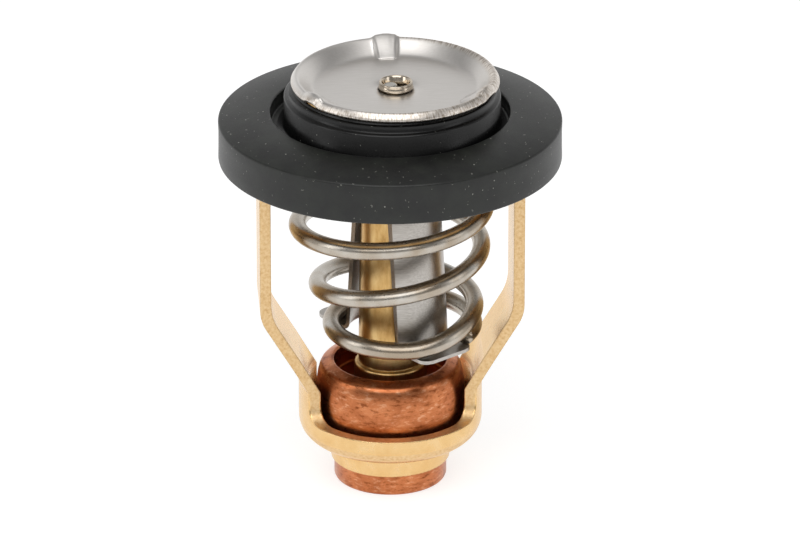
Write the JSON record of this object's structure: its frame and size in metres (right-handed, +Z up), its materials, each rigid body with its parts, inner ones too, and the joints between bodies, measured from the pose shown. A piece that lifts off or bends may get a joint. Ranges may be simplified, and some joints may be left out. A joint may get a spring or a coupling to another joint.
{
  "type": "engine thermostat",
  "caption": "Round valve unit with a rubber rim gasket, a spring-loaded steel disc and a wax capsule in a brass yoke.",
  "frame": {"origin": "centre of the stub's flat end, on the surface the part stands on", "axes": "+Z up the valve's axis, the way the disc lifts; the yoke's two legs lie near -X and +X"},
  "size_m": [0.048, 0.048, 0.0617],
  "materials": {
    "copper": "worn bare copper",
    "wax": "wax with copper powder, sealed inside",
    "inner_rubber": "matte",
    "white_plastic": "matte",
    "brass": "satin, as pressed",
    "piston_steel": "ground",
    "gasket_rubber": "matte, moulded",
    "seat_rubber": "slightly shiny",
    "disc_steel": "satin stainless sheet",
    "rivet_metal": "bright nickel plate",
    "spring_steel": "drawn stainless wire"
  },
  "bodies": {
    "frame": {"brass_yoke": "brass", "brass_flange": "brass", "rubber_gasket": "gasket_rubber", "rubber_seat_ring": "seat_rubber", "wax_capsule_shell": "copper", "wax_charge": "wax", "rubber_diaphragm": "inner_rubber", "rubber_plug": "inner_rubber", "bore_washer": "white_plastic", "brass_guide_stem": "brass", "conical_spring": "spring_steel"},
    "valve": {"valve_disc": "disc_steel", "centre_rivet": "rivet_metal", "spring_bracket": "disc_steel", "steel_piston": "piston_steel"}
  },
  "joints": [
    {"name": "valve_lift", "type": "slide", "parent": "frame", "child": "valve", "axis": [0, 0, 1], "range_m": [0, 0.0045], "stiffness_N_per_m": 2000, "springref_m": -0.01, "deforming": ["conical_spring"]}
  ]
}
